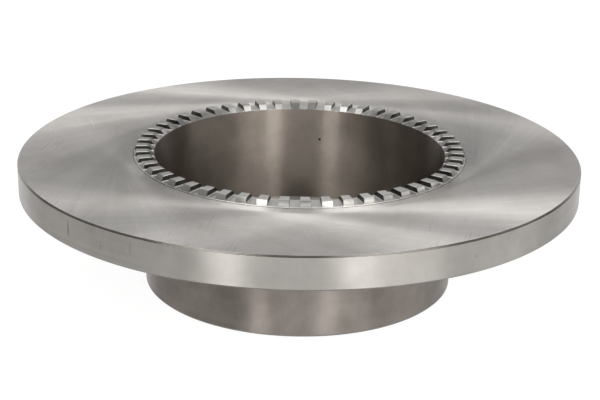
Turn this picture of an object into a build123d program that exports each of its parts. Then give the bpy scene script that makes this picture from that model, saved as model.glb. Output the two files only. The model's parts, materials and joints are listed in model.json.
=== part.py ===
from build123d import *
import os

# Rear brake disc of a light van: a solid cast-iron friction disc on a deep hat, with a toothed
# wheel-speed sensor ring pressed into a seat round the mouth of the hat's bore.
#
# Frame: the origin is the centre of the hat's outer end face, which the road wheel clamps against.
# +Z runs along the turning axis, from that end face towards the sensor ring. Millimetres.

# ---- Driving dimensions ----

# Friction disc
disc_radius = 140.0
disc_thickness = 16.0
friction_face_height = 66.5
rim_chamfer = 0.8

# Relief round the hat on the lower friction face, where the grinding wheel runs out
relief_radius = 89.0
relief_depth = 0.8
neck_fillet = 3.0

# Hat and its mounting flange
hat_radius = 78.0
hat_end_chamfer = 1.0
bore_radius = 73.0
flange_thickness = 12.0
floor_fillet = 4.0

# Openings in the mounting flange
pilot_radius = 42.0
pilot_chamfer = 1.0
stud_circle_radius = 59.0
stud_hole_radius = 7.5
stud_hole_chamfer = 0.7
stud_count = 5

# Sensor ring
tooth_count = 52
tooth_angle = -87.83
ring_radius = 83.1
ring_seat_depth = 6.0
land_height = 0.45
tooth_height = 3.3
tooth_foot_radius = 82.8
tooth_shoulder_radius = 82.6
tooth_shoulder_height = 1.8
tooth_outer_radius = 81.9
tooth_inner_radius = 75.6
tooth_brow_radius = 2.0
bevel_foot_height = 0.4
slot_floor_width = 4.7
slot_mouth_width = 5.0
slot_floor_fillet = 0.5
tooth_edge_chamfer = 0.2
bore_lip_chamfer = 0.15
seam_chamfer = 0.3

# ---- Heights that follow from them ----

disc_bottom = friction_face_height - disc_thickness
seat_height = friction_face_height - ring_seat_depth
land_top = friction_face_height + land_height
tooth_shoulder = friction_face_height + tooth_shoulder_height
tooth_top = friction_face_height + tooth_height
bevel_foot = friction_face_height + bevel_foot_height
above_everything = tooth_top + 1.0

# How far a computed edge may lie from its nominal place and still be the one that is meant
edge_tolerance = 0.001


def upright_cylinder(radius, bottom, top):
    """A cylinder on the turning axis between two heights."""
    standing = (Align.CENTER, Align.CENTER, Align.MIN)
    return Pos(0, 0, bottom) * Cylinder(radius, top - bottom, align=standing)


def rings_at(solid, radius, height):
    """The circular edges of a turned solid that have one radius and lie at one height."""

    def is_meant(edge):
        if edge.geom_type != GeomType.CIRCLE:
            return False
        same_radius = abs(edge.radius - radius) < edge_tolerance
        same_height = abs(edge.position_at(0).Z - height) < edge_tolerance
        return same_radius and same_height

    return solid.edges().filter_by(is_meant)


def turned_casting():
    """The casting as it leaves the lathe: friction disc, hat wall and mounting flange in one."""
    disc = upright_cylinder(disc_radius, disc_bottom, friction_face_height)
    hat = upright_cylinder(hat_radius, 0.0, disc_bottom + relief_depth)
    relief = upright_cylinder(relief_radius, disc_bottom, disc_bottom + relief_depth)
    hollow = upright_cylinder(bore_radius, flange_thickness, above_everything)
    pilot = upright_cylinder(pilot_radius, 0.0, flange_thickness)
    seat = upright_cylinder(ring_radius, seat_height, above_everything)
    return disc - relief + hat - hollow - pilot - seat


def soften_casting(casting):
    """Break the casting's sharp edges, and round its two inner corners."""
    corner = rings_at(casting, bore_radius, flange_thickness)
    casting = fillet(corner, floor_fillet)
    neck = rings_at(casting, hat_radius, disc_bottom + relief_depth)
    casting = fillet(neck, neck_fillet)
    rim = rings_at(casting, disc_radius, friction_face_height)
    rim += rings_at(casting, disc_radius, disc_bottom)
    casting = chamfer(rim, rim_chamfer)
    hat_end = rings_at(casting, hat_radius, 0.0)
    casting = chamfer(hat_end, hat_end_chamfer)
    pilot = rings_at(casting, pilot_radius, 0.0)
    pilot += rings_at(casting, pilot_radius, flange_thickness)
    casting = chamfer(pilot, pilot_chamfer)
    relief_lip = rings_at(casting, relief_radius, disc_bottom)
    casting = chamfer(relief_lip, relief_depth / 2)
    seat_lip = rings_at(casting, ring_radius, friction_face_height)
    return chamfer(seat_lip, seam_chamfer)


def stud_hole():
    """The space of one stud hole, flared at both faces of the flange."""
    hole = upright_cylinder(stud_hole_radius, 0.0, flange_thickness)
    flare = Cone(stud_hole_radius + stud_hole_chamfer, stud_hole_radius, stud_hole_chamfer)
    lower_flare = Pos(0, 0, stud_hole_chamfer / 2) * flare
    upper_flare = Pos(0, 0, flange_thickness - stud_hole_chamfer / 2) * Rot(180, 0, 0) * flare
    return hole + lower_flare + upper_flare


def rotor_casting():
    """The whole casting with its stud holes, the first of them in line with a tooth."""
    casting = soften_casting(turned_casting())
    places = PolarLocations(stud_circle_radius, stud_count, start_angle=tooth_angle)
    return casting - [place * stud_hole() for place in places]


def ring_blank():
    """The sensor ring before its slots are cut: one turned section, with a rounded inner brow."""
    section = make_face(
        Polyline(
            (bore_radius, seat_height),
            (ring_radius - seam_chamfer, seat_height),
            (ring_radius, seat_height + seam_chamfer),
            (ring_radius, land_top - seam_chamfer),
            (tooth_foot_radius, land_top),
            (tooth_shoulder_radius, tooth_shoulder),
            (tooth_outer_radius, tooth_top),
            (tooth_inner_radius, tooth_top),
            (bore_radius, bevel_foot),
            close=True,
        )
    )
    brow = section.vertices().sort_by_distance((tooth_inner_radius, tooth_top))[:1]
    section = fillet(brow, tooth_brow_radius)
    return revolve(Plane.XZ * section, Axis.Z)


def slot_section():
    """The section of one slot: flat floor, rounded floor corners, leaning walls, flared mouth."""
    floor = slot_floor_width / 2
    mouth = slot_mouth_width / 2
    flare_bottom = tooth_top - tooth_edge_chamfer
    reach = above_everything - flare_bottom
    walls = make_face(
        Polyline(
            (-floor, land_top),
            (floor, land_top),
            (mouth, flare_bottom),
            (mouth + reach, above_everything),
            (-mouth - reach, above_everything),
            (-mouth, flare_bottom),
            close=True,
        )
    )
    floor_corners = walls.vertices().sort_by(Axis.Y)[:2]
    return fillet(floor_corners, slot_floor_fillet)


def bore_lip_cutter():
    """A small wedge that breaks the sharp edge where a slot's floor meets the bore."""
    overrun = 1.0
    corner_height = land_top - bore_lip_chamfer - overrun
    outline = Polyline(
        (bore_radius - overrun, corner_height),
        (bore_radius + bore_lip_chamfer + overrun, land_top + overrun),
        (bore_radius - overrun, land_top + overrun),
        close=True,
    )
    flat_floor_width = slot_floor_width - 2 * slot_floor_fillet
    return extrude(Plane.XZ * make_face(outline), flat_floor_width / 2, both=True)


def slot_cutter():
    """The space between two teeth, running out along +X from inside the bore past the ring."""
    start = bore_radius - slot_mouth_width
    length = ring_radius + slot_mouth_width - start
    across = Plane(origin=(start, 0, 0), x_dir=(0, 1, 0), z_dir=(1, 0, 0))
    return extrude(across * slot_section(), length) + bore_lip_cutter()


def sensor_ring():
    """The toothed ring: a turned blank with equal slots milled across it."""
    half_pitch = 180.0 / tooth_count
    places = PolarLocations(0, tooth_count, start_angle=tooth_angle + half_pitch)
    cutter = slot_cutter()
    return ring_blank() - [place * cutter for place in places]


os.makedirs("parts", exist_ok=True)
export_step(rotor_casting(), "parts/rotor_casting.step")
export_step(sensor_ring(), "parts/sensor_ring.step")
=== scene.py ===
import json
import math

import bmesh
import bpy
from mathutils import Matrix, Vector


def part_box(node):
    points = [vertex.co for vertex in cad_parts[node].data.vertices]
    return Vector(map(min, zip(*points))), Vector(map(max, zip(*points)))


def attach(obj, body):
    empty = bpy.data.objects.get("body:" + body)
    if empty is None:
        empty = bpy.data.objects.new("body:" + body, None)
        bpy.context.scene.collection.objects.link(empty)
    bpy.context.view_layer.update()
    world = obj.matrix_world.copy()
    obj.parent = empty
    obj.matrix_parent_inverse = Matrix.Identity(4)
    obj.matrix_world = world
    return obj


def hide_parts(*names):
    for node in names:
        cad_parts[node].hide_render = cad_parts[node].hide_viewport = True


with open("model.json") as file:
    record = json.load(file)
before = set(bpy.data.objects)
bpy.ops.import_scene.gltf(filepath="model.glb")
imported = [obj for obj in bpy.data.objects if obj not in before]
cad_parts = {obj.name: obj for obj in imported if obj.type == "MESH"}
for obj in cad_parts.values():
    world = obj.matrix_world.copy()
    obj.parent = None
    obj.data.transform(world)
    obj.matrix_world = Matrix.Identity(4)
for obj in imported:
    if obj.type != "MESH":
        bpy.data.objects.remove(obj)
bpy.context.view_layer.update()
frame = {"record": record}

RECORD = frame["record"]

# Looks of a solid brake disc on a deep hat, with a toothed sensor ring round the mouth of its bore.
# Metres, in the row frame: the hat's end face lies on z = 0 and +Z is the turning axis.

MM = 0.001


# ---- Dimensions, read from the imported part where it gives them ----

def mount(name):
    """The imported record's mount of that name."""
    return next(entry for entry in RECORD["mounts"] if entry["name"] == name)


CASTING_LOW, CASTING_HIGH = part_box("rotor_casting")
RING_LOW, RING_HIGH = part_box("sensor_ring")

DISC_RADIUS = CASTING_HIGH.x
FACE_HEIGHT = CASTING_HIGH.z
DISC_BOTTOM = mount("lower_pad_face")["pos_m"][2]
FLANGE_TOP = mount("hub_face")["pos_m"][2]
PILOT_RADIUS = mount("pilot_bore")["dims"]["r_mm"] * MM
STUD_CIRCLE_RADIUS = mount("stud_circle")["dims"]["pcd_mm"] * MM / 2
STUD_HOLE_RADIUS = mount("stud_circle")["dims"]["hole_r_mm"] * MM
STUD_COUNT = mount("stud_circle")["dims"]["count"]
RING_RADIUS = RING_HIGH.x
SEAT_HEIGHT = RING_LOW.z
TOOTH_TOP = RING_HIGH.z

HAT_RADIUS = 78.0 * MM
BORE_RADIUS = 73.0 * MM
RELIEF_RADIUS = 89.0 * MM
RELIEF_DEPTH = 0.8 * MM
NECK_FILLET = 3.0 * MM
FLOOR_FILLET = 4.0 * MM
EDGE_CHAMFER = 1.0 * MM
RIM_CHAMFER = 0.8 * MM
SEAM_CHAMFER = 0.3 * MM
STUD_HOLE_CHAMFER = 0.7 * MM
BROKEN_EDGE = 0.15 * MM

TOOTH_COUNT = 52
TOOTH_ANGLE = math.radians(-87.83)
LAND_TOP = FACE_HEIGHT + 0.45 * MM
TOOTH_SHOULDER = FACE_HEIGHT + 1.8 * MM
TOOTH_FOOT_RADIUS = 82.8 * MM
TOOTH_SHOULDER_RADIUS = 82.6 * MM
TOOTH_OUTER_RADIUS = 81.9 * MM
TOOTH_INNER_RADIUS = 75.6 * MM
TOOTH_BROW_RADIUS = 2.0 * MM
TOOTH_CROWN_ROUNDING = 0.35 * MM
TOOTH_SHOULDER_ROUNDING = 0.5 * MM
BEVEL_FOOT = FACE_HEIGHT + 0.4 * MM
SLOT_FLOOR_WIDTH = 4.7 * MM
SLOT_MOUTH_WIDTH = 5.0 * MM
SLOT_FLOOR_FILLET = 0.5 * MM
TOOTH_EDGE = 0.2 * MM
TOOTH_EDGE_ROUNDING = 0.1 * MM
BORE_LIP = 0.15 * MM
NARROW_LIP = 0.05 * MM

# How finely the meshes are divided
TURNED_STEPS = 720
STUD_HOLE_STEPS = 72
ARC_STEPS = 3


# ---- Outlines ----

def corner_arc(before, corner, after, radius):
    """The points that round one corner of an outline."""
    back = (before - corner).normalized()
    ahead = (after - corner).normalized()
    half_angle = back.angle(ahead) / 2
    reach = radius / math.tan(half_angle)
    middle = corner + (back + ahead).normalized() * (radius / math.sin(half_angle))
    start = corner + back * reach - middle
    end = corner + ahead * reach - middle
    swing = math.pi - 2 * half_angle
    points = []
    for step in range(ARC_STEPS + 1):
        share = step / ARC_STEPS
        weight_start = math.sin((1 - share) * swing) / math.sin(swing)
        weight_end = math.sin(share * swing) / math.sin(swing)
        points.append(middle + start * weight_start + end * weight_end)
    return points


def rounded(corners, closed):
    """An outline through (radius, height, rounding) corners, with each corner rounded.

    Gives one list of points for each corner.
    """
    places = [Vector((across, height)) for across, height, rounding in corners]
    groups = []
    for index, (across, height, rounding) in enumerate(corners):
        is_end = not closed and index in (0, len(corners) - 1)
        if rounding == 0 or is_end:
            groups.append([places[index]])
            continue
        before = places[index - 1]
        after = places[(index + 1) % len(places)]
        groups.append(corner_arc(before, places[index], after, rounding))
    return groups


def across_at(outline, height):
    """How far out a rising or falling outline is at one height."""
    for low, high in zip(outline, outline[1:]):
        bottom, top = sorted((low.y, high.y))
        if bottom <= height <= top and top > bottom:
            return low.x + (high.x - low.x) * (height - low.y) / (high.y - low.y)
    nearest = min(outline, key=lambda point: abs(point.y - height))
    return nearest.x


# ---- Materials ----

def rgb(red, green, blue):
    """A colour for a socket."""
    return (red, green, blue, 1.0)


# Dark and light tones of each surface
GROUND_TONES = (rgb(0.63, 0.605, 0.58), rgb(0.76, 0.735, 0.705))
GROUND_CLOUD = rgb(0.56, 0.53, 0.495)
RIM_TONES = (rgb(0.355, 0.335, 0.31), rgb(0.43, 0.41, 0.385))
# The hat's tones are darker than the rim's: partly its own browner tone, partly painted shade for the
# disc's shadow on the floor that the hat reflects.
HAT_TONE_AND_SHADE = (rgb(0.188, 0.166, 0.148), rgb(0.264, 0.237, 0.215))
BORE_TONES = (rgb(0.21, 0.182, 0.157), rgb(0.287, 0.25, 0.215))
FACED_TONES = (rgb(0.36, 0.34, 0.31), rgb(0.47, 0.45, 0.42))
# Painted shade: the chamfers' tones are dark so that the chamfers read as dark lines.
EDGE_SHADE_TONES = (rgb(0.15, 0.14, 0.127), rgb(0.21, 0.197, 0.18))
TOP_TONES = (rgb(0.52, 0.51, 0.49), rgb(0.66, 0.65, 0.63))
SIDE_TONES = (rgb(0.34, 0.33, 0.31), rgb(0.44, 0.43, 0.41))
# Painted shade: the slot walls are coloured near black for the shade that falls between the teeth.
SLOT_WALL_SHADE_TONES = (rgb(0.05, 0.047, 0.042), rgb(0.10, 0.095, 0.085))
FLOOR_TONES = (rgb(0.17, 0.17, 0.17), rgb(0.19, 0.19, 0.19))
LIGHT_SCRATCH = rgb(0.88, 0.87, 0.84)
DARK_SCRATCH = rgb(0.30, 0.29, 0.27)
MARK_COLOR = rgb(0.02, 0.018, 0.016)
BLACK = rgb(0.0, 0.0, 0.0)
WHITE = rgb(1.0, 1.0, 1.0)

# The parts of a noise's range over which the tones and the roughness change
TONE_RANGE = (0.35, 0.65)
ROUGHNESS_RANGE = (0.3, 0.7)

# The grinding wheel that leaves the arcs on the friction face. Its rim clears the sensor ring.
WHEEL_RADIUS = 5.0 * DISC_RADIUS
WHEEL_REACH = WHEEL_RADIUS - 0.63 * DISC_RADIUS
SECOND_FAMILY_SHARE = 0.34

# Scratches on the friction face, as (bearing in degrees, length in metres, seed)
FIRST_LIGHT_SCRATCHES = (15.0, 0.02, 3.0)
SECOND_LIGHT_SCRATCHES = (105.0, 0.03, 7.0)
DARK_SCRATCHES = (80.0, 0.03, 11.0)
SCRATCH_WIDTH = 1.2 * MM
LIGHT_SCRATCH_STRENGTH = 0.45
DARK_SCRATCH_STRENGTH = 0.35

# Thin upright marks on the rim, as (azimuth in degrees, height, half length, strength), in mm
RIM_MARKS = (
    (-47.1, 59.5, 5.0, 0.35),
    (-38.0, 57.5, 3.0, 0.15),
    (-31.0, 60.5, 4.0, 0.15),
    (33.5, 58.5, 1.2, 0.15),
)
# A small casting pore, opened by the boring tool
PORE_AZIMUTH = 171.4
PORE_HEIGHT = 50.0 * MM
PORE_SIZE = 1.0 * MM
MARK_WIDTH = 0.9 * MM


class Surface:
    """A procedural material in the making. Its places are read in metres, in the row frame."""

    def __init__(self, name):
        self.material = bpy.data.materials.new(name)
        self.material.use_nodes = True
        self.tree = self.material.node_tree
        self.tree.nodes.clear()
        self.place = self.node("ShaderNodeTexCoord").outputs["Object"]

    def node(self, kind, values=None, **settings):
        """A node with these settings. A value is a constant or another node's output."""
        made = self.tree.nodes.new(kind)
        for key, setting in settings.items():
            setattr(made, key, setting)
        for key, value in (values or {}).items():
            socket = made.inputs[key]
            if isinstance(value, bpy.types.NodeSocket):
                self.tree.links.new(value, socket)
            else:
                socket.default_value = value
        return made

    def math(self, operation, *values):
        """The result of a Math node."""
        values = dict(enumerate(values))
        return self.node("ShaderNodeMath", values, operation=operation).outputs[0]

    def vector(self, operation, *values):
        """The result of a Vector Math node: its number where it gives one, else its vector."""
        made = self.node("ShaderNodeVectorMath", dict(enumerate(values)), operation=operation)
        gives_number = operation in ("LENGTH", "DOT_PRODUCT", "DISTANCE")
        return made.outputs["Value" if gives_number else "Vector"]

    def scaled(self, vector, scale):
        """A vector times a number."""
        made = self.node("ShaderNodeVectorMath", {0: vector, "Scale": scale}, operation="SCALE")
        return made.outputs["Vector"]

    def combined(self, x, y, z):
        """A vector made of three numbers."""
        return self.node("ShaderNodeCombineXYZ", {"X": x, "Y": y, "Z": z}).outputs[0]

    def flat(self):
        """The place without its height."""
        return self.vector("MULTIPLY", self.place, (1.0, 1.0, 0.0))

    def height(self):
        """How high the place is."""
        return self.vector("DOT_PRODUCT", self.place, (0.0, 0.0, 1.0))

    def upright(self):
        """The direction of the turning axis."""
        return self.combined(0.0, 0.0, 1.0)

    def layered(self, spread, level, density):
        """Where to read a noise that varies slowly over the plan and quickly with a level."""
        climb = self.combined(0.0, 0.0, self.math("MULTIPLY", level, density))
        return self.vector("ADD", self.scaled(self.flat(), spread), climb)

    def weighed(self, first, second, share):
        """Two numbers added: the first by its share, the second by the rest."""
        first_part = self.math("MULTIPLY", first, share)
        second_part = self.math("MULTIPLY", second, 1.0 - share)
        return self.math("ADD", first_part, second_part)

    def toned(self, level, tones):
        """A colour between two tones, as a random level varies."""
        return self.blend(self.remap(level, *TONE_RANGE, 0.0, 1.0), *tones)

    def roughened(self, level, low, high):
        """A roughness between two values, as a random level varies."""
        return self.remap(level, *ROUGHNESS_RANGE, low, high)

    def noise(self, place, scale, detail=2.0, roughness=0.5):
        """Soft random variation, around 0.5."""
        values = {"Vector": place, "Scale": scale, "Detail": detail, "Roughness": roughness}
        return self.node("ShaderNodeTexNoise", values).outputs["Fac"]

    def remap(self, value, low, high, to_low, to_high):
        """A number moved from one range into another, and kept inside it."""
        values = {
            "Value": value,
            "From Min": low,
            "From Max": high,
            "To Min": to_low,
            "To Max": to_high,
        }
        return self.node("ShaderNodeMapRange", values, clamp=True).outputs["Result"]

    def blend(self, share, first, second):
        """A colour between two colours."""
        values = {"Factor": share, "A": first, "B": second}
        mixed = self.node("ShaderNodeMix", None, data_type="RGBA")
        for key, value in values.items():
            fits = [s for s in mixed.inputs if s.name == key and s.enabled]
            if isinstance(value, bpy.types.NodeSocket):
                self.tree.links.new(value, fits[0])
            else:
                fits[0].default_value = value
        return next(s for s in mixed.outputs if s.enabled)

    def bump(self, height, strength, distance, under=None):
        """A normal tilted by a height that varies over the surface."""
        values = {"Height": height, "Strength": strength, "Distance": distance}
        if under is not None:
            values["Normal"] = under
        return self.node("ShaderNodeBump", values).outputs["Normal"]

    def marked(self, color, centre, reach, strength, paint):
        """The colour, tinted near one place. Reach is how far the mark goes along each axis."""
        away = self.vector("SUBTRACT", self.place, centre)
        measured = self.vector("DIVIDE", away, reach)
        share = self.remap(self.vector("LENGTH", measured), 0.5, 1.0, strength, 0.0)
        return self.blend(share, color, paint)

    def scratches(self, bearing, length, seed):
        """Sparse straight scratches that run at one bearing, in a few patches only."""
        turn = math.radians(bearing)
        along = self.vector("DOT_PRODUCT", self.place, (math.cos(turn), math.sin(turn), 0.0))
        across = self.vector("DOT_PRODUCT", self.place, (-math.sin(turn), math.cos(turn), 0.0))
        stretched = self.combined(
            self.math("DIVIDE", along, length),
            self.math("DIVIDE", across, SCRATCH_WIDTH),
            seed,
        )
        lines = self.remap(self.noise(stretched, 1.0), 0.62, 0.70, 0.0, 1.0)
        shifted = self.vector("ADD", self.place, (seed, seed, 0.0))
        patches = self.remap(self.noise(shifted, 14.0), 0.50, 0.62, 0.0, 1.0)
        return self.math("MULTIPLY", lines, patches)

    def metal(self, color, roughness, anisotropy=0.0, tangent=None, normal=None):
        """A metal shader."""
        values = {"Base Color": color, "Metallic": 1.0, "Roughness": roughness}
        values["Anisotropic"] = anisotropy
        if tangent is not None:
            values["Tangent"] = tangent
        if normal is not None:
            values["Normal"] = normal
        return self.node("ShaderNodeBsdfPrincipled", values).outputs["BSDF"]

    def finish(self, shader):
        """Ends the material with that shader and gives it back."""
        self.node("ShaderNodeOutputMaterial", {"Surface": shader})
        return self.material


def ground_scratches(surface, color):
    """The colour with the friction face's light and dark scratches over it."""
    first = surface.scratches(*FIRST_LIGHT_SCRATCHES)
    second = surface.scratches(*SECOND_LIGHT_SCRATCHES)
    light = surface.math("MULTIPLY", surface.math("ADD", first, second), LIGHT_SCRATCH_STRENGTH)
    dark = surface.math("MULTIPLY", surface.scratches(*DARK_SCRATCHES), DARK_SCRATCH_STRENGTH)
    color = surface.blend(light, color, LIGHT_SCRATCH)
    return surface.blend(dark, color, DARK_SCRATCH)


def wheel_turn(surface, radius):
    """Cosine and sine of the angle between a place and the wheel's centre when its rim is over it."""
    squared = surface.math("MULTIPLY", radius, radius)
    rise = surface.math("ADD", squared, WHEEL_REACH**2 - WHEEL_RADIUS**2)
    ratio = surface.math("DIVIDE", rise, surface.math("MULTIPLY", radius, 2 * WHEEL_REACH))
    cosine = surface.math("MAXIMUM", ratio, -1.0)
    remainder = surface.math("SUBTRACT", 1.0, surface.math("MULTIPLY", cosine, cosine))
    return cosine, surface.math("SQRT", remainder)


def ground_iron():
    """Friction face: two crossing families of long arcs, left by a large grinding wheel."""
    surface = Surface("ground_iron")
    flat = surface.flat()
    radius = surface.vector("LENGTH", flat)
    outward = surface.vector("NORMALIZE", flat)
    around = surface.vector("CROSS_PRODUCT", surface.upright(), outward)
    cosine, sine = wheel_turn(surface, radius)
    clouds = surface.remap(surface.noise(surface.place, 26.0, 4.0, 0.6), 0.45, 0.75, 0.0, 0.8)
    along = surface.combined(0.0, 0.0, surface.math("MULTIPLY", radius, 30.0))
    shaders = []
    for side in (1.0, -1.0):
        turn = surface.math("MULTIPLY", sine, side)
        toward = surface.vector("ADD", surface.scaled(outward, cosine), surface.scaled(around, turn))
        centre = surface.scaled(toward, WHEEL_REACH)
        across = surface.vector("NORMALIZE", surface.vector("SUBTRACT", centre, flat))
        fine_place = surface.vector("ADD", surface.scaled(toward, 260.0), along)
        fine = surface.noise(fine_place, 1.0, 3.0, 0.6)
        broad_place = surface.vector("ADD", surface.scaled(toward, 22.0), along)
        broad = surface.noise(broad_place, 1.0, 2.0, 0.5)
        level = surface.weighed(fine, broad, 0.5)
        color = surface.blend(clouds, surface.toned(level, GROUND_TONES), GROUND_CLOUD)
        color = ground_scratches(surface, color)
        roughness = surface.roughened(level, 0.38, 0.43)
        normal = surface.bump(fine, 0.06, 0.05 * MM)
        shaders.append(surface.metal(color, roughness, 1.0, across, normal))
    values = {0: SECOND_FAMILY_SHARE, 1: shaders[0], 2: shaders[1]}
    mixed = surface.node("ShaderNodeMixShader", values)
    return surface.finish(mixed.outputs[0])


def round_place(radius, azimuth, height):
    """A place on a turned surface. Azimuth 0 is in front, at -Y, and 90 degrees is at +X."""
    turn = math.radians(azimuth)
    return (radius * math.sin(turn), -radius * math.cos(turn), height)


def turned_iron(name, tones, roughness, groove_depth, marks_at=()):
    """A turned cylinder: fine grooves round it, faint stains, and a few small marks.

    A mark is (place, reach, strength).
    """
    surface = Surface(name)
    height = surface.height()
    grooves = surface.noise(surface.layered(8.0, height, 2200.0), 1.0, 3.0, 0.6)
    streaks = surface.noise(surface.layered(900.0, height, 90.0), 1.0, 2.0, 0.5)
    stains = surface.noise(surface.place, 45.0, 4.0, 0.6)
    color = surface.toned(surface.weighed(streaks, stains, 0.08), tones)
    for place, reach, strength in marks_at:
        color = surface.marked(color, place, reach, strength, MARK_COLOR)
    rough = surface.roughened(grooves, roughness - 0.04, roughness + 0.04)
    relief = surface.math("ADD", grooves, surface.math("MULTIPLY", streaks, 0.03))
    normal = surface.bump(relief, 0.3, groove_depth)
    return surface.finish(surface.metal(color, rough, 1.0, surface.upright(), normal))


def rim_iron():
    """The turned rim, with thin upright handling marks."""
    marks = []
    for azimuth, height, length, strength in RIM_MARKS:
        place = round_place(DISC_RADIUS, azimuth, height * MM)
        marks.append((place, (MARK_WIDTH, MARK_WIDTH, length * MM), strength))
    return turned_iron("rim_iron", RIM_TONES, 0.42, 0.03 * MM, marks)


def hat_iron():
    """The hat's turned outside. Its tones are partly its own browner iron and partly painted shade
    for the disc's shadow on the floor below it.
    """
    return turned_iron("hat_iron", HAT_TONE_AND_SHADE, 0.40, 0.04 * MM)


def edge_iron():
    """The turned chamfers of the rim, the hat's end and the relief, coloured dark as painted shade so
    that they read as dark lines.
    """
    return turned_iron("edge_iron", EDGE_SHADE_TONES, 0.27, 0.02 * MM)


def bore_iron(name):
    """The turned bore, which runs on over the ring's inner side."""
    place = round_place(BORE_RADIUS, PORE_AZIMUTH, PORE_HEIGHT)
    pore = (place, (PORE_SIZE, PORE_SIZE, PORE_SIZE), 1.0)
    return turned_iron(name, BORE_TONES, 0.38, 0.05 * MM, [pore])


def faced_iron():
    """A flat face cut on the lathe: fine rings about the axis, and stains."""
    surface = Surface("faced_iron")
    flat = surface.flat()
    radius = surface.vector("LENGTH", flat)
    outward = surface.vector("NORMALIZE", flat)
    grooves = surface.noise(surface.layered(12.0, radius, 2500.0), 1.0, 2.0, 0.6)
    stains = surface.noise(surface.place, 60.0, 4.0, 0.6)
    color = surface.toned(surface.weighed(grooves, stains, 0.4), FACED_TONES)
    rough = surface.roughened(grooves, 0.38, 0.47)
    normal = surface.bump(grooves, 0.4, 0.03 * MM)
    return surface.finish(surface.metal(color, rough, 0.8, outward, normal))


def steel_noises(surface):
    """The ring's fine grain, and its small stains."""
    grain = surface.noise(surface.place, 1400.0, 3.0, 0.6)
    stains = surface.noise(surface.place, 120.0, 3.0, 0.6)
    return grain, stains


def cut_steel(name, tones, roughness, anisotropy):
    """A cut face of the sensor ring: a fine grain, small stains, and a sheen across the cut."""
    surface = Surface(name)
    grain, stains = steel_noises(surface)
    color = surface.toned(surface.weighed(grain, stains, 0.1), tones)
    rough = surface.roughened(grain, roughness - 0.02, roughness + 0.02)
    normal = surface.bump(grain, 0.02, 0.01 * MM)
    return surface.finish(surface.metal(color, rough, anisotropy, surface.upright(), normal))


def top_steel():
    """The ring's flat tops and slot floors, turned about the axis."""
    surface = Surface("top_steel")
    outward = surface.vector("NORMALIZE", surface.flat())
    grain, stains = steel_noises(surface)
    color = surface.toned(surface.weighed(grain, stains, 0.4), TOP_TONES)
    rough = surface.roughened(grain, 0.40, 0.48)
    normal = surface.bump(grain, 0.12, 0.02 * MM)
    return surface.finish(surface.metal(color, rough, 0.6, outward, normal))


# ---- The casting ----

CASTING_ZONES = ("ground", "rim", "hat", "bore", "faced", "edge")


def casting_outline():
    """The casting's turned section, as (radius, height, rounding, zone of the side that follows)."""
    relief_top = DISC_BOTTOM + RELIEF_DEPTH
    edge = BROKEN_EDGE
    return [
        (PILOT_RADIUS, EDGE_CHAMFER, edge, "faced"),
        (PILOT_RADIUS + EDGE_CHAMFER, 0.0, edge, "faced"),
        (HAT_RADIUS - EDGE_CHAMFER, 0.0, edge, "edge"),
        (HAT_RADIUS, EDGE_CHAMFER, edge, "hat"),
        (HAT_RADIUS, relief_top, NECK_FILLET, "faced"),
        (RELIEF_RADIUS, relief_top, edge, "faced"),
        (RELIEF_RADIUS, relief_top - RELIEF_DEPTH / 2, edge, "edge"),
        (RELIEF_RADIUS + RELIEF_DEPTH / 2, DISC_BOTTOM, edge, "ground"),
        (DISC_RADIUS - RIM_CHAMFER, DISC_BOTTOM, edge, "edge"),
        (DISC_RADIUS, DISC_BOTTOM + RIM_CHAMFER, edge, "rim"),
        (DISC_RADIUS, FACE_HEIGHT - RIM_CHAMFER, edge, "edge"),
        (DISC_RADIUS - RIM_CHAMFER, FACE_HEIGHT, edge, "ground"),
        (RING_RADIUS + SEAM_CHAMFER, FACE_HEIGHT, edge / 3, "faced"),
        (RING_RADIUS, FACE_HEIGHT - SEAM_CHAMFER, edge / 3, "faced"),
        (RING_RADIUS, SEAT_HEIGHT, 0.0, "faced"),
        (BORE_RADIUS, SEAT_HEIGHT, 0.0, "bore"),
        (BORE_RADIUS, FLANGE_TOP, FLOOR_FILLET, "faced"),
        (PILOT_RADIUS + EDGE_CHAMFER, FLANGE_TOP, edge, "faced"),
        (PILOT_RADIUS, FLANGE_TOP - EDGE_CHAMFER, edge, "faced"),
    ]


def mesh_data(name, mesh):
    """The finished mesh as mesh data of that name."""
    data = bpy.data.meshes.new(name)
    mesh.to_mesh(data)
    mesh.free()
    return data


def spun_mesh(name, outline):
    """A turned mesh from a closed section. Each side carries the number of its zone's material."""
    corners = [entry[:3] for entry in outline]
    points = []
    zones = []
    for group, entry in zip(rounded(corners, True), outline):
        points += group
        zones += [CASTING_ZONES.index(entry[3])] * len(group)
    mesh = bmesh.new()
    rings = []
    for step in range(TURNED_STEPS):
        angle = math.tau * step / TURNED_STEPS
        cosine = math.cos(angle)
        sine = math.sin(angle)
        rings.append([mesh.verts.new((p.x * cosine, p.x * sine, p.y)) for p in points])
    for step, ring in enumerate(rings):
        following = rings[(step + 1) % TURNED_STEPS]
        for index in range(len(points)):
            after = (index + 1) % len(points)
            face = mesh.faces.new((ring[index], following[index], following[after], ring[after]))
            face.material_index = zones[index]
            face.smooth = True
    bmesh.ops.recalc_face_normals(mesh, faces=mesh.faces)
    return mesh_data(name, mesh)


def hole_loop(mesh, middle, radius, height):
    """One ring of vertices round a stud hole's axis."""
    loop = []
    for step in range(STUD_HOLE_STEPS):
        angle = math.tau * step / STUD_HOLE_STEPS
        offset = Vector((math.cos(angle) * radius, math.sin(angle) * radius, height))
        loop.append(mesh.verts.new(middle + offset))
    return loop


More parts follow.
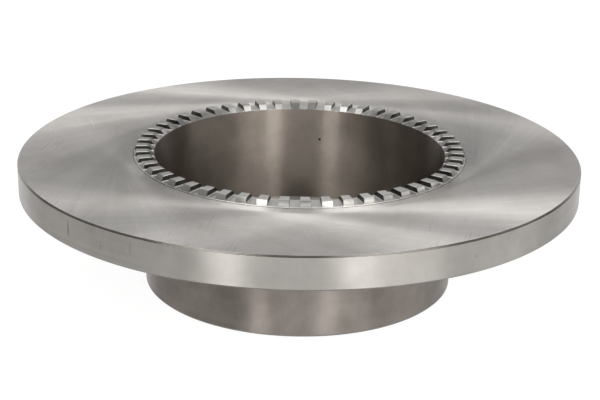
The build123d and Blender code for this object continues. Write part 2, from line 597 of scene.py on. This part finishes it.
def add_stud_hole(mesh, bearing):
    """Adds the closed space of one stud hole to the mesh."""
    overrun = 1.0 * MM
    flare = STUD_HOLE_CHAMFER
    outline = [
        (STUD_HOLE_RADIUS + flare + overrun, -overrun),
        (STUD_HOLE_RADIUS, flare),
        (STUD_HOLE_RADIUS, FLANGE_TOP - flare),
        (STUD_HOLE_RADIUS + flare + overrun, FLANGE_TOP + overrun),
    ]
    middle = Vector((math.cos(bearing), math.sin(bearing), 0.0)) * STUD_CIRCLE_RADIUS
    loops = [hole_loop(mesh, middle, radius, height) for radius, height in outline]
    for lower, upper in zip(loops, loops[1:]):
        for step in range(STUD_HOLE_STEPS):
            after = (step + 1) % STUD_HOLE_STEPS
            face = mesh.faces.new((lower[step], lower[after], upper[after], upper[step]))
            face.smooth = True
    mesh.faces.new(reversed(loops[0]))
    mesh.faces.new(loops[-1])


def stud_hole_cutter(materials):
    """The spaces of the stud holes, flared at both faces of the flange."""
    mesh = bmesh.new()
    for hole in range(STUD_COUNT):
        add_stud_hole(mesh, TOOTH_ANGLE + math.tau * hole / STUD_COUNT)
    for face in mesh.faces:
        face.material_index = CASTING_ZONES.index("faced")
    data = mesh_data("stud_hole_cutter", mesh)
    for material in materials:
        data.materials.append(material)
    return new_object("stud_hole_cutter", data)


def new_object(name, data):
    """An object with that data, in the scene."""
    made = bpy.data.objects.new(name, data)
    bpy.context.scene.collection.objects.link(made)
    return made


def settled(piece):
    """The piece with its modifiers applied to its mesh."""
    graph = bpy.context.evaluated_depsgraph_get()
    data = bpy.data.meshes.new_from_object(piece.evaluated_get(graph))
    piece.modifiers.clear()
    piece.data = data
    return piece


def weight_normals(piece, sharp_angle):
    """Keeps flat faces flat beside their rounded edges."""
    piece.data.set_sharp_from_angle(angle=sharp_angle)
    weigh = piece.modifiers.new("weigh_normals", "WEIGHTED_NORMAL")
    weigh.keep_sharp = True
    weigh.weight = 90


def rotor_casting():
    """The casting: one turned mesh with its stud holes cut through the flange."""
    materials = [
        ground_iron(),
        rim_iron(),
        hat_iron(),
        bore_iron("bore_iron"),
        faced_iron(),
        edge_iron(),
    ]
    piece = new_object("disc_and_hat", spun_mesh("disc_and_hat", casting_outline()))
    for material in materials:
        piece.data.materials.append(material)
    cutter = stud_hole_cutter(materials)
    cut = piece.modifiers.new("stud_holes", "BOOLEAN")
    cut.operation = "DIFFERENCE"
    cut.solver = "EXACT"
    cut.object = cutter
    settled(piece)
    bpy.data.objects.remove(cutter)
    weight_normals(piece, math.radians(35.0))
    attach(piece, "root")
    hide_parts("rotor_casting")
    return piece


# ---- The sensor ring ----

RING_ZONES = ("top", "side", "wall", "bore")

# How many faces a section of the ring has along its bevel, its top and its outer side
BEVEL_STEPS = 9
TOP_STEPS = 4
DROP_STEPS = 8
# How many spans a tooth's top is divided into, from one of its slots to the next
CROWN_SPANS = 6
# Vertices nearer to each other than this are one
SAME_PLACE = 0.001 * MM


def ring_zones(rises):
    """The zone of each side of a section, in the order of its points.

    Where the ring rises from a slot's floor to a tooth's top, all of it above the land is slot wall,
    coloured near black as painted shade.
    """
    side = "wall" if rises else "side"
    top = "wall" if rises else "top"
    zones = ["bore", "bore"] + [side] * BEVEL_STEPS + [top] * TOP_STEPS + [side] * DROP_STEPS
    return zones + ["top", "bore", "bore"]


def half_slot_outline():
    """From a slot's middle to the top of the tooth beside it, as points (offset, height)."""
    floor = SLOT_FLOOR_WIDTH / 2
    mouth = SLOT_MOUTH_WIDTH / 2
    edge = TOOTH_EDGE_ROUNDING
    corners = [
        (0.0, LAND_TOP, 0.0),
        (floor, LAND_TOP, SLOT_FLOOR_FILLET),
        (mouth, TOOTH_TOP - TOOTH_EDGE, edge),
        (mouth + TOOTH_EDGE, TOOTH_TOP, edge),
        (mouth + 3 * TOOTH_EDGE, TOOTH_TOP, 0.0),
    ]
    points = []
    for group in rounded(corners, False):
        points += group
    return points


def inner_side():
    """The ring's inner side, from the bore up its bevel to the tooth's top."""
    corners = [
        (BORE_RADIUS, BEVEL_FOOT, 0.0),
        (TOOTH_INNER_RADIUS, TOOTH_TOP, TOOTH_BROW_RADIUS),
        (TOOTH_OUTER_RADIUS, TOOTH_TOP, 0.0),
    ]
    points = []
    for group in rounded(corners, False):
        points += group
    return points[:-1]


def outer_side():
    """The ring's outer side, from its tooth's top down to the land."""
    corners = [
        (TOOTH_INNER_RADIUS, TOOTH_TOP, 0.0),
        (TOOTH_OUTER_RADIUS, TOOTH_TOP, TOOTH_CROWN_ROUNDING),
        (TOOTH_SHOULDER_RADIUS, TOOTH_SHOULDER, TOOTH_SHOULDER_ROUNDING),
        (TOOTH_FOOT_RADIUS, LAND_TOP, 0.0),
    ]
    points = []
    for group in rounded(corners, False):
        points += group
    return points[1:]


def rise_points(height, lip):
    """The bevel's points, from the bore up to where the section is cut down."""
    if height - BEVEL_FOOT < 4 * lip:
        shares = [step / BEVEL_STEPS for step in range(1, BEVEL_STEPS + 1)]
        return [(BORE_RADIUS + lip * share, height - lip * (1 - share)) for share in shares]
    inner = inner_side()
    points = []
    for step in range(1, BEVEL_STEPS + 1):
        share = math.sin(step / BEVEL_STEPS * math.pi / 2)
        level = BEVEL_FOOT + (height - BEVEL_FOOT) * share
        points.append((across_at(inner, level), level))
    return points


def drop_points(height):
    """The outer side's points, from where the section is cut down to the land."""
    outer = outer_side()
    points = []
    for step in range(DROP_STEPS + 1):
        share = 1 - math.cos(step / DROP_STEPS * math.pi / 2)
        level = height + (LAND_TOP - height) * share
        points.append((across_at(outer, level), level))
    return points


def ring_section(height, lip):
    """The ring's closed section where it is cut down to one height, as points (radius, height)."""
    bottom = [
        (RING_RADIUS - SEAM_CHAMFER, SEAT_HEIGHT),
        (BORE_RADIUS, SEAT_HEIGHT),
        (BORE_RADIUS, min(BEVEL_FOOT, height - lip)),
    ]
    rise = rise_points(height, lip)
    drop = drop_points(height)
    innermost = rise[-1][0]
    width = drop[0][0] - innermost
    top = [(innermost + width * step / TOP_STEPS, height) for step in range(1, TOP_STEPS)]
    seam = [
        (RING_RADIUS, LAND_TOP - SEAM_CHAMFER),
        (RING_RADIUS, SEAT_HEIGHT + SEAM_CHAMFER),
    ]
    return bottom + rise + top + drop + seam


def pitch_columns():
    """The sections met on the way from one slot's middle to the next, as (offset, share, points).

    A section of the slot lies at a fixed offset from the slot's middle line, and one of the
    tooth's top lies between the two slots, share of the way across.
    """
    slot = half_slot_outline()
    flat_floor = SLOT_FLOOR_WIDTH / 2 - SLOT_FLOOR_FILLET
    tooth_edge_offset = slot[-1].x
    rising = []
    for point in slot:
        depth = BORE_LIP if point.x <= flat_floor else NARROW_LIP
        rising.append((point.x, None, ring_section(point.y, depth)))
    top = ring_section(TOOTH_TOP, NARROW_LIP)
    across = [(tooth_edge_offset, step / CROWN_SPANS, top) for step in range(1, CROWN_SPANS)]
    falling = [(-offset, None, points) for offset, _, points in reversed(rising)]
    return rising + across + falling[:-1]


def bearing_of(radius, offset, share, slot_middle):
    """The angle at that radius of a section met on the way from a slot's middle to the next."""
    pitch = math.tau / TOOTH_COUNT
    turn = math.asin(offset / radius)
    if share is not None:
        return slot_middle + turn + (pitch - 2 * turn) * share
    if offset >= 0:
        return slot_middle + turn
    return slot_middle + pitch + turn


def ring_loops(mesh):
    """The ring's sections all the way round, each as a loop of vertices."""
    pitch = math.tau / TOOTH_COUNT
    columns = pitch_columns()
    loops = []
    for tooth in range(TOOTH_COUNT):
        slot_middle = TOOTH_ANGLE + (tooth - 0.5) * pitch
        for offset, share, points in columns:
            loop = []
            for radius, height in points:
                bearing = bearing_of(radius, offset, share, slot_middle)
                place = (math.cos(bearing) * radius, math.sin(bearing) * radius, height)
                loop.append(mesh.verts.new(place))
            loops.append(loop)
    return loops


def join_loops(mesh, loops):
    """Adds the faces between each loop and the next, each with its zone's material."""
    count = len(loops[0])
    middle = count // 2
    for index, loop in enumerate(loops):
        following = loops[(index + 1) % len(loops)]
        rises = abs(following[middle].co.z - loop[middle].co.z) > SLOT_FLOOR_FILLET
        zones = ring_zones(rises)
        for point in range(count):
            after = (point + 1) % count
            corners = (loop[point], loop[after], following[after], following[point])
            face = mesh.faces.new(corners)
            face.smooth = True
            face.material_index = RING_ZONES.index(zones[point])


def sensor_ring():
    """The toothed ring: one pitch from slot to slot, repeated all round."""
    mesh = bmesh.new()
    join_loops(mesh, ring_loops(mesh))
    bmesh.ops.remove_doubles(mesh, verts=mesh.verts, dist=SAME_PLACE)
    bmesh.ops.recalc_face_normals(mesh, faces=mesh.faces)
    data = mesh_data("toothed_ring", mesh)
    materials = [
        top_steel(),
        cut_steel("side_steel", SIDE_TONES, 0.30, 0.9),
        # The slot walls' near-black tones are painted shade.
        cut_steel("wall_steel", SLOT_WALL_SHADE_TONES, 0.36, 0.3),
        bore_iron("ring_bore_iron"),
    ]
    for material in materials:
        data.materials.append(material)
    piece = new_object("toothed_ring", data)
    weight_normals(piece, math.radians(30.0))
    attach(piece, "root")
    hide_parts("sensor_ring")
    return piece


# ---- Studio ----

# The floor and the backdrop, in metres
FLOOR_HALF_SIDE = 4.0
WALL_RADIUS = 3.9
WALL_HEIGHT = 3.0
WALL_SIDES = 96

# How brightly they and the surroundings shine, where 1 is white
FLOOR_GLOW = 0.90
WALL_GLOW = 1.0
WORLD_GLOW = 0.38

# Name, azimuth and elevation seen from the disc in degrees, distance, width and height in metres,
# and radiance, where 1 is the white of the floor
STUDIO_LIGHTS = (
    ("left_strip", -26.0, 16.0, 1.6, 0.34, 0.8, 6.6),
    ("right_strip", 22.5, 16.0, 1.6, 0.34, 0.8, 7.6),
    ("front_fill", -1.0, 10.0, 1.7, 1.0, 0.5, 2.6),
    ("side_strip", 42.0, 12.0, 1.6, 0.65, 0.6, 3.7),
    ("right_fill", 80.0, 14.0, 1.7, 1.4, 0.6, 1.8),
    ("left_high", -53.0, 60.0, 1.6, 0.7, 0.7, 3.6),
    ("right_high", 55.0, 60.0, 1.6, 0.8, 0.7, 3.4),
    ("back_right", 160.0, 55.0, 1.8, 0.7, 0.9, 0.8),
    ("back_left", -155.0, 55.0, 1.8, 0.7, 0.9, 0.7),
    ("left_backdrop", -140.0, 14.0, 2.2, 0.7, 1.0, 0.8),
    ("right_backdrop", 140.0, 14.0, 2.2, 0.7, 1.0, 0.8),
)


def softbox(name, azimuth, elevation, distance, width, height, radiance):
    """A soft light aimed at the disc. Azimuth 0 is in front of it, at -Y, and 90 is at +X."""
    target = Vector((0.0, 0.0, FACE_HEIGHT))
    turn = math.radians(azimuth)
    rise = math.radians(elevation)
    away = Vector((math.sin(turn) * math.cos(rise), -math.cos(turn) * math.cos(rise), math.sin(rise)))
    lamp = bpy.data.lights.new(name, "AREA")
    lamp.shape = "RECTANGLE"
    lamp.size = width
    lamp.size_y = height
    lamp.energy = radiance * math.pi * width * height
    placed = new_object(name, lamp)
    placed.location = target + away * distance
    placed.rotation_euler = away.to_track_quat("Z", "Y").to_euler()
    return placed


def glowing(name, color, roughness, glow):
    """A plain shining material for the studio, without a sheen."""
    surface = Surface(name)
    if color is None:
        color = surface.blend(surface.noise(surface.place, 3.0), *FLOOR_TONES)
    values = {"Base Color": color, "Roughness": roughness}
    values["Emission Color"] = WHITE
    values["Emission Strength"] = glow
    values["Specular IOR Level"] = 0.0
    paint = surface.node("ShaderNodeBsdfPrincipled", values)
    return surface.finish(paint.outputs["BSDF"])


def floor():
    """The pale floor that the hat's end face rests on."""
    mesh = bmesh.new()
    bmesh.ops.create_grid(mesh, x_segments=8, y_segments=8, size=FLOOR_HALF_SIDE)
    data = mesh_data("floor", mesh)
    data.materials.append(glowing("white_floor", None, 0.8, FLOOR_GLOW))
    placed = new_object("floor", data)
    placed.location.z = CASTING_LOW.z


def world_light():
    """Even light from all round."""
    world = bpy.data.worlds.new("studio")
    world.use_nodes = True
    background = world.node_tree.nodes["Background"]
    background.inputs["Color"].default_value = WHITE
    background.inputs["Strength"].default_value = WORLD_GLOW
    bpy.context.scene.world = world


def backdrop():
    """A white wall round the studio. Only the camera sees it, so it adds no light to the object."""
    mesh = bmesh.new()
    bmesh.ops.create_cone(
        mesh,
        cap_ends=False,
        segments=WALL_SIDES,
        radius1=WALL_RADIUS,
        radius2=WALL_RADIUS,
        depth=2 * WALL_HEIGHT,
    )
    data = mesh_data("backdrop", mesh)
    data.materials.append(glowing("white_wall", BLACK, 0.5, WALL_GLOW))
    wall = new_object("backdrop", data)
    wall.visible_diffuse = False
    wall.visible_glossy = False
    wall.visible_transmission = False
    wall.visible_shadow = False


def studio():
    """Floor, surroundings and lights."""
    floor()
    world_light()
    backdrop()
    for light in STUDIO_LIGHTS:
        softbox(*light)


# The camera at the photograph's viewing angle: distances in metres, angles in degrees
CAMERA_DISTANCE = 5.406 * DISC_RADIUS
CAMERA_ELEVATION = 18.159
CAMERA_YAW = 0.051
CAMERA_PITCH = 20.015
CAMERA_ROLL = 1.062
CAMERA_LENS = 90.08
SENSOR_WIDTH = 36.0
NEAREST_SEEN = 0.01


def camera():
    """The camera at the photograph's viewing angle."""
    elevation = math.radians(CAMERA_ELEVATION)
    yaw = math.radians(CAMERA_YAW)
    pitch = math.radians(CAMERA_PITCH)
    roll = math.radians(CAMERA_ROLL)
    level_ahead = Vector((math.sin(yaw), math.cos(yaw), 0.0))
    ahead = level_ahead * math.cos(pitch) - Vector((0.0, 0.0, math.sin(pitch)))
    level_right = Vector((math.cos(yaw), -math.sin(yaw), 0.0))
    level_up = level_right.cross(ahead)
    right = level_right * math.cos(roll) + level_up * math.sin(roll)
    up = level_up * math.cos(roll) - level_right * math.sin(roll)
    lens = bpy.data.cameras.new("camera")
    lens.sensor_width = SENSOR_WIDTH
    lens.lens = CAMERA_LENS
    lens.clip_start = NEAREST_SEEN
    placed = new_object("camera", lens)
    turned = Matrix((right, up, -ahead)).transposed().to_4x4()
    height = FACE_HEIGHT + CAMERA_DISTANCE * math.sin(elevation)
    place = Vector((0.0, -CAMERA_DISTANCE * math.cos(elevation), height))
    placed.matrix_world = Matrix.Translation(place) @ turned
    bpy.context.scene.camera = placed


rotor_casting()
sensor_ring()
studio()
camera()
bpy.context.scene.view_settings.view_transform = "Standard"
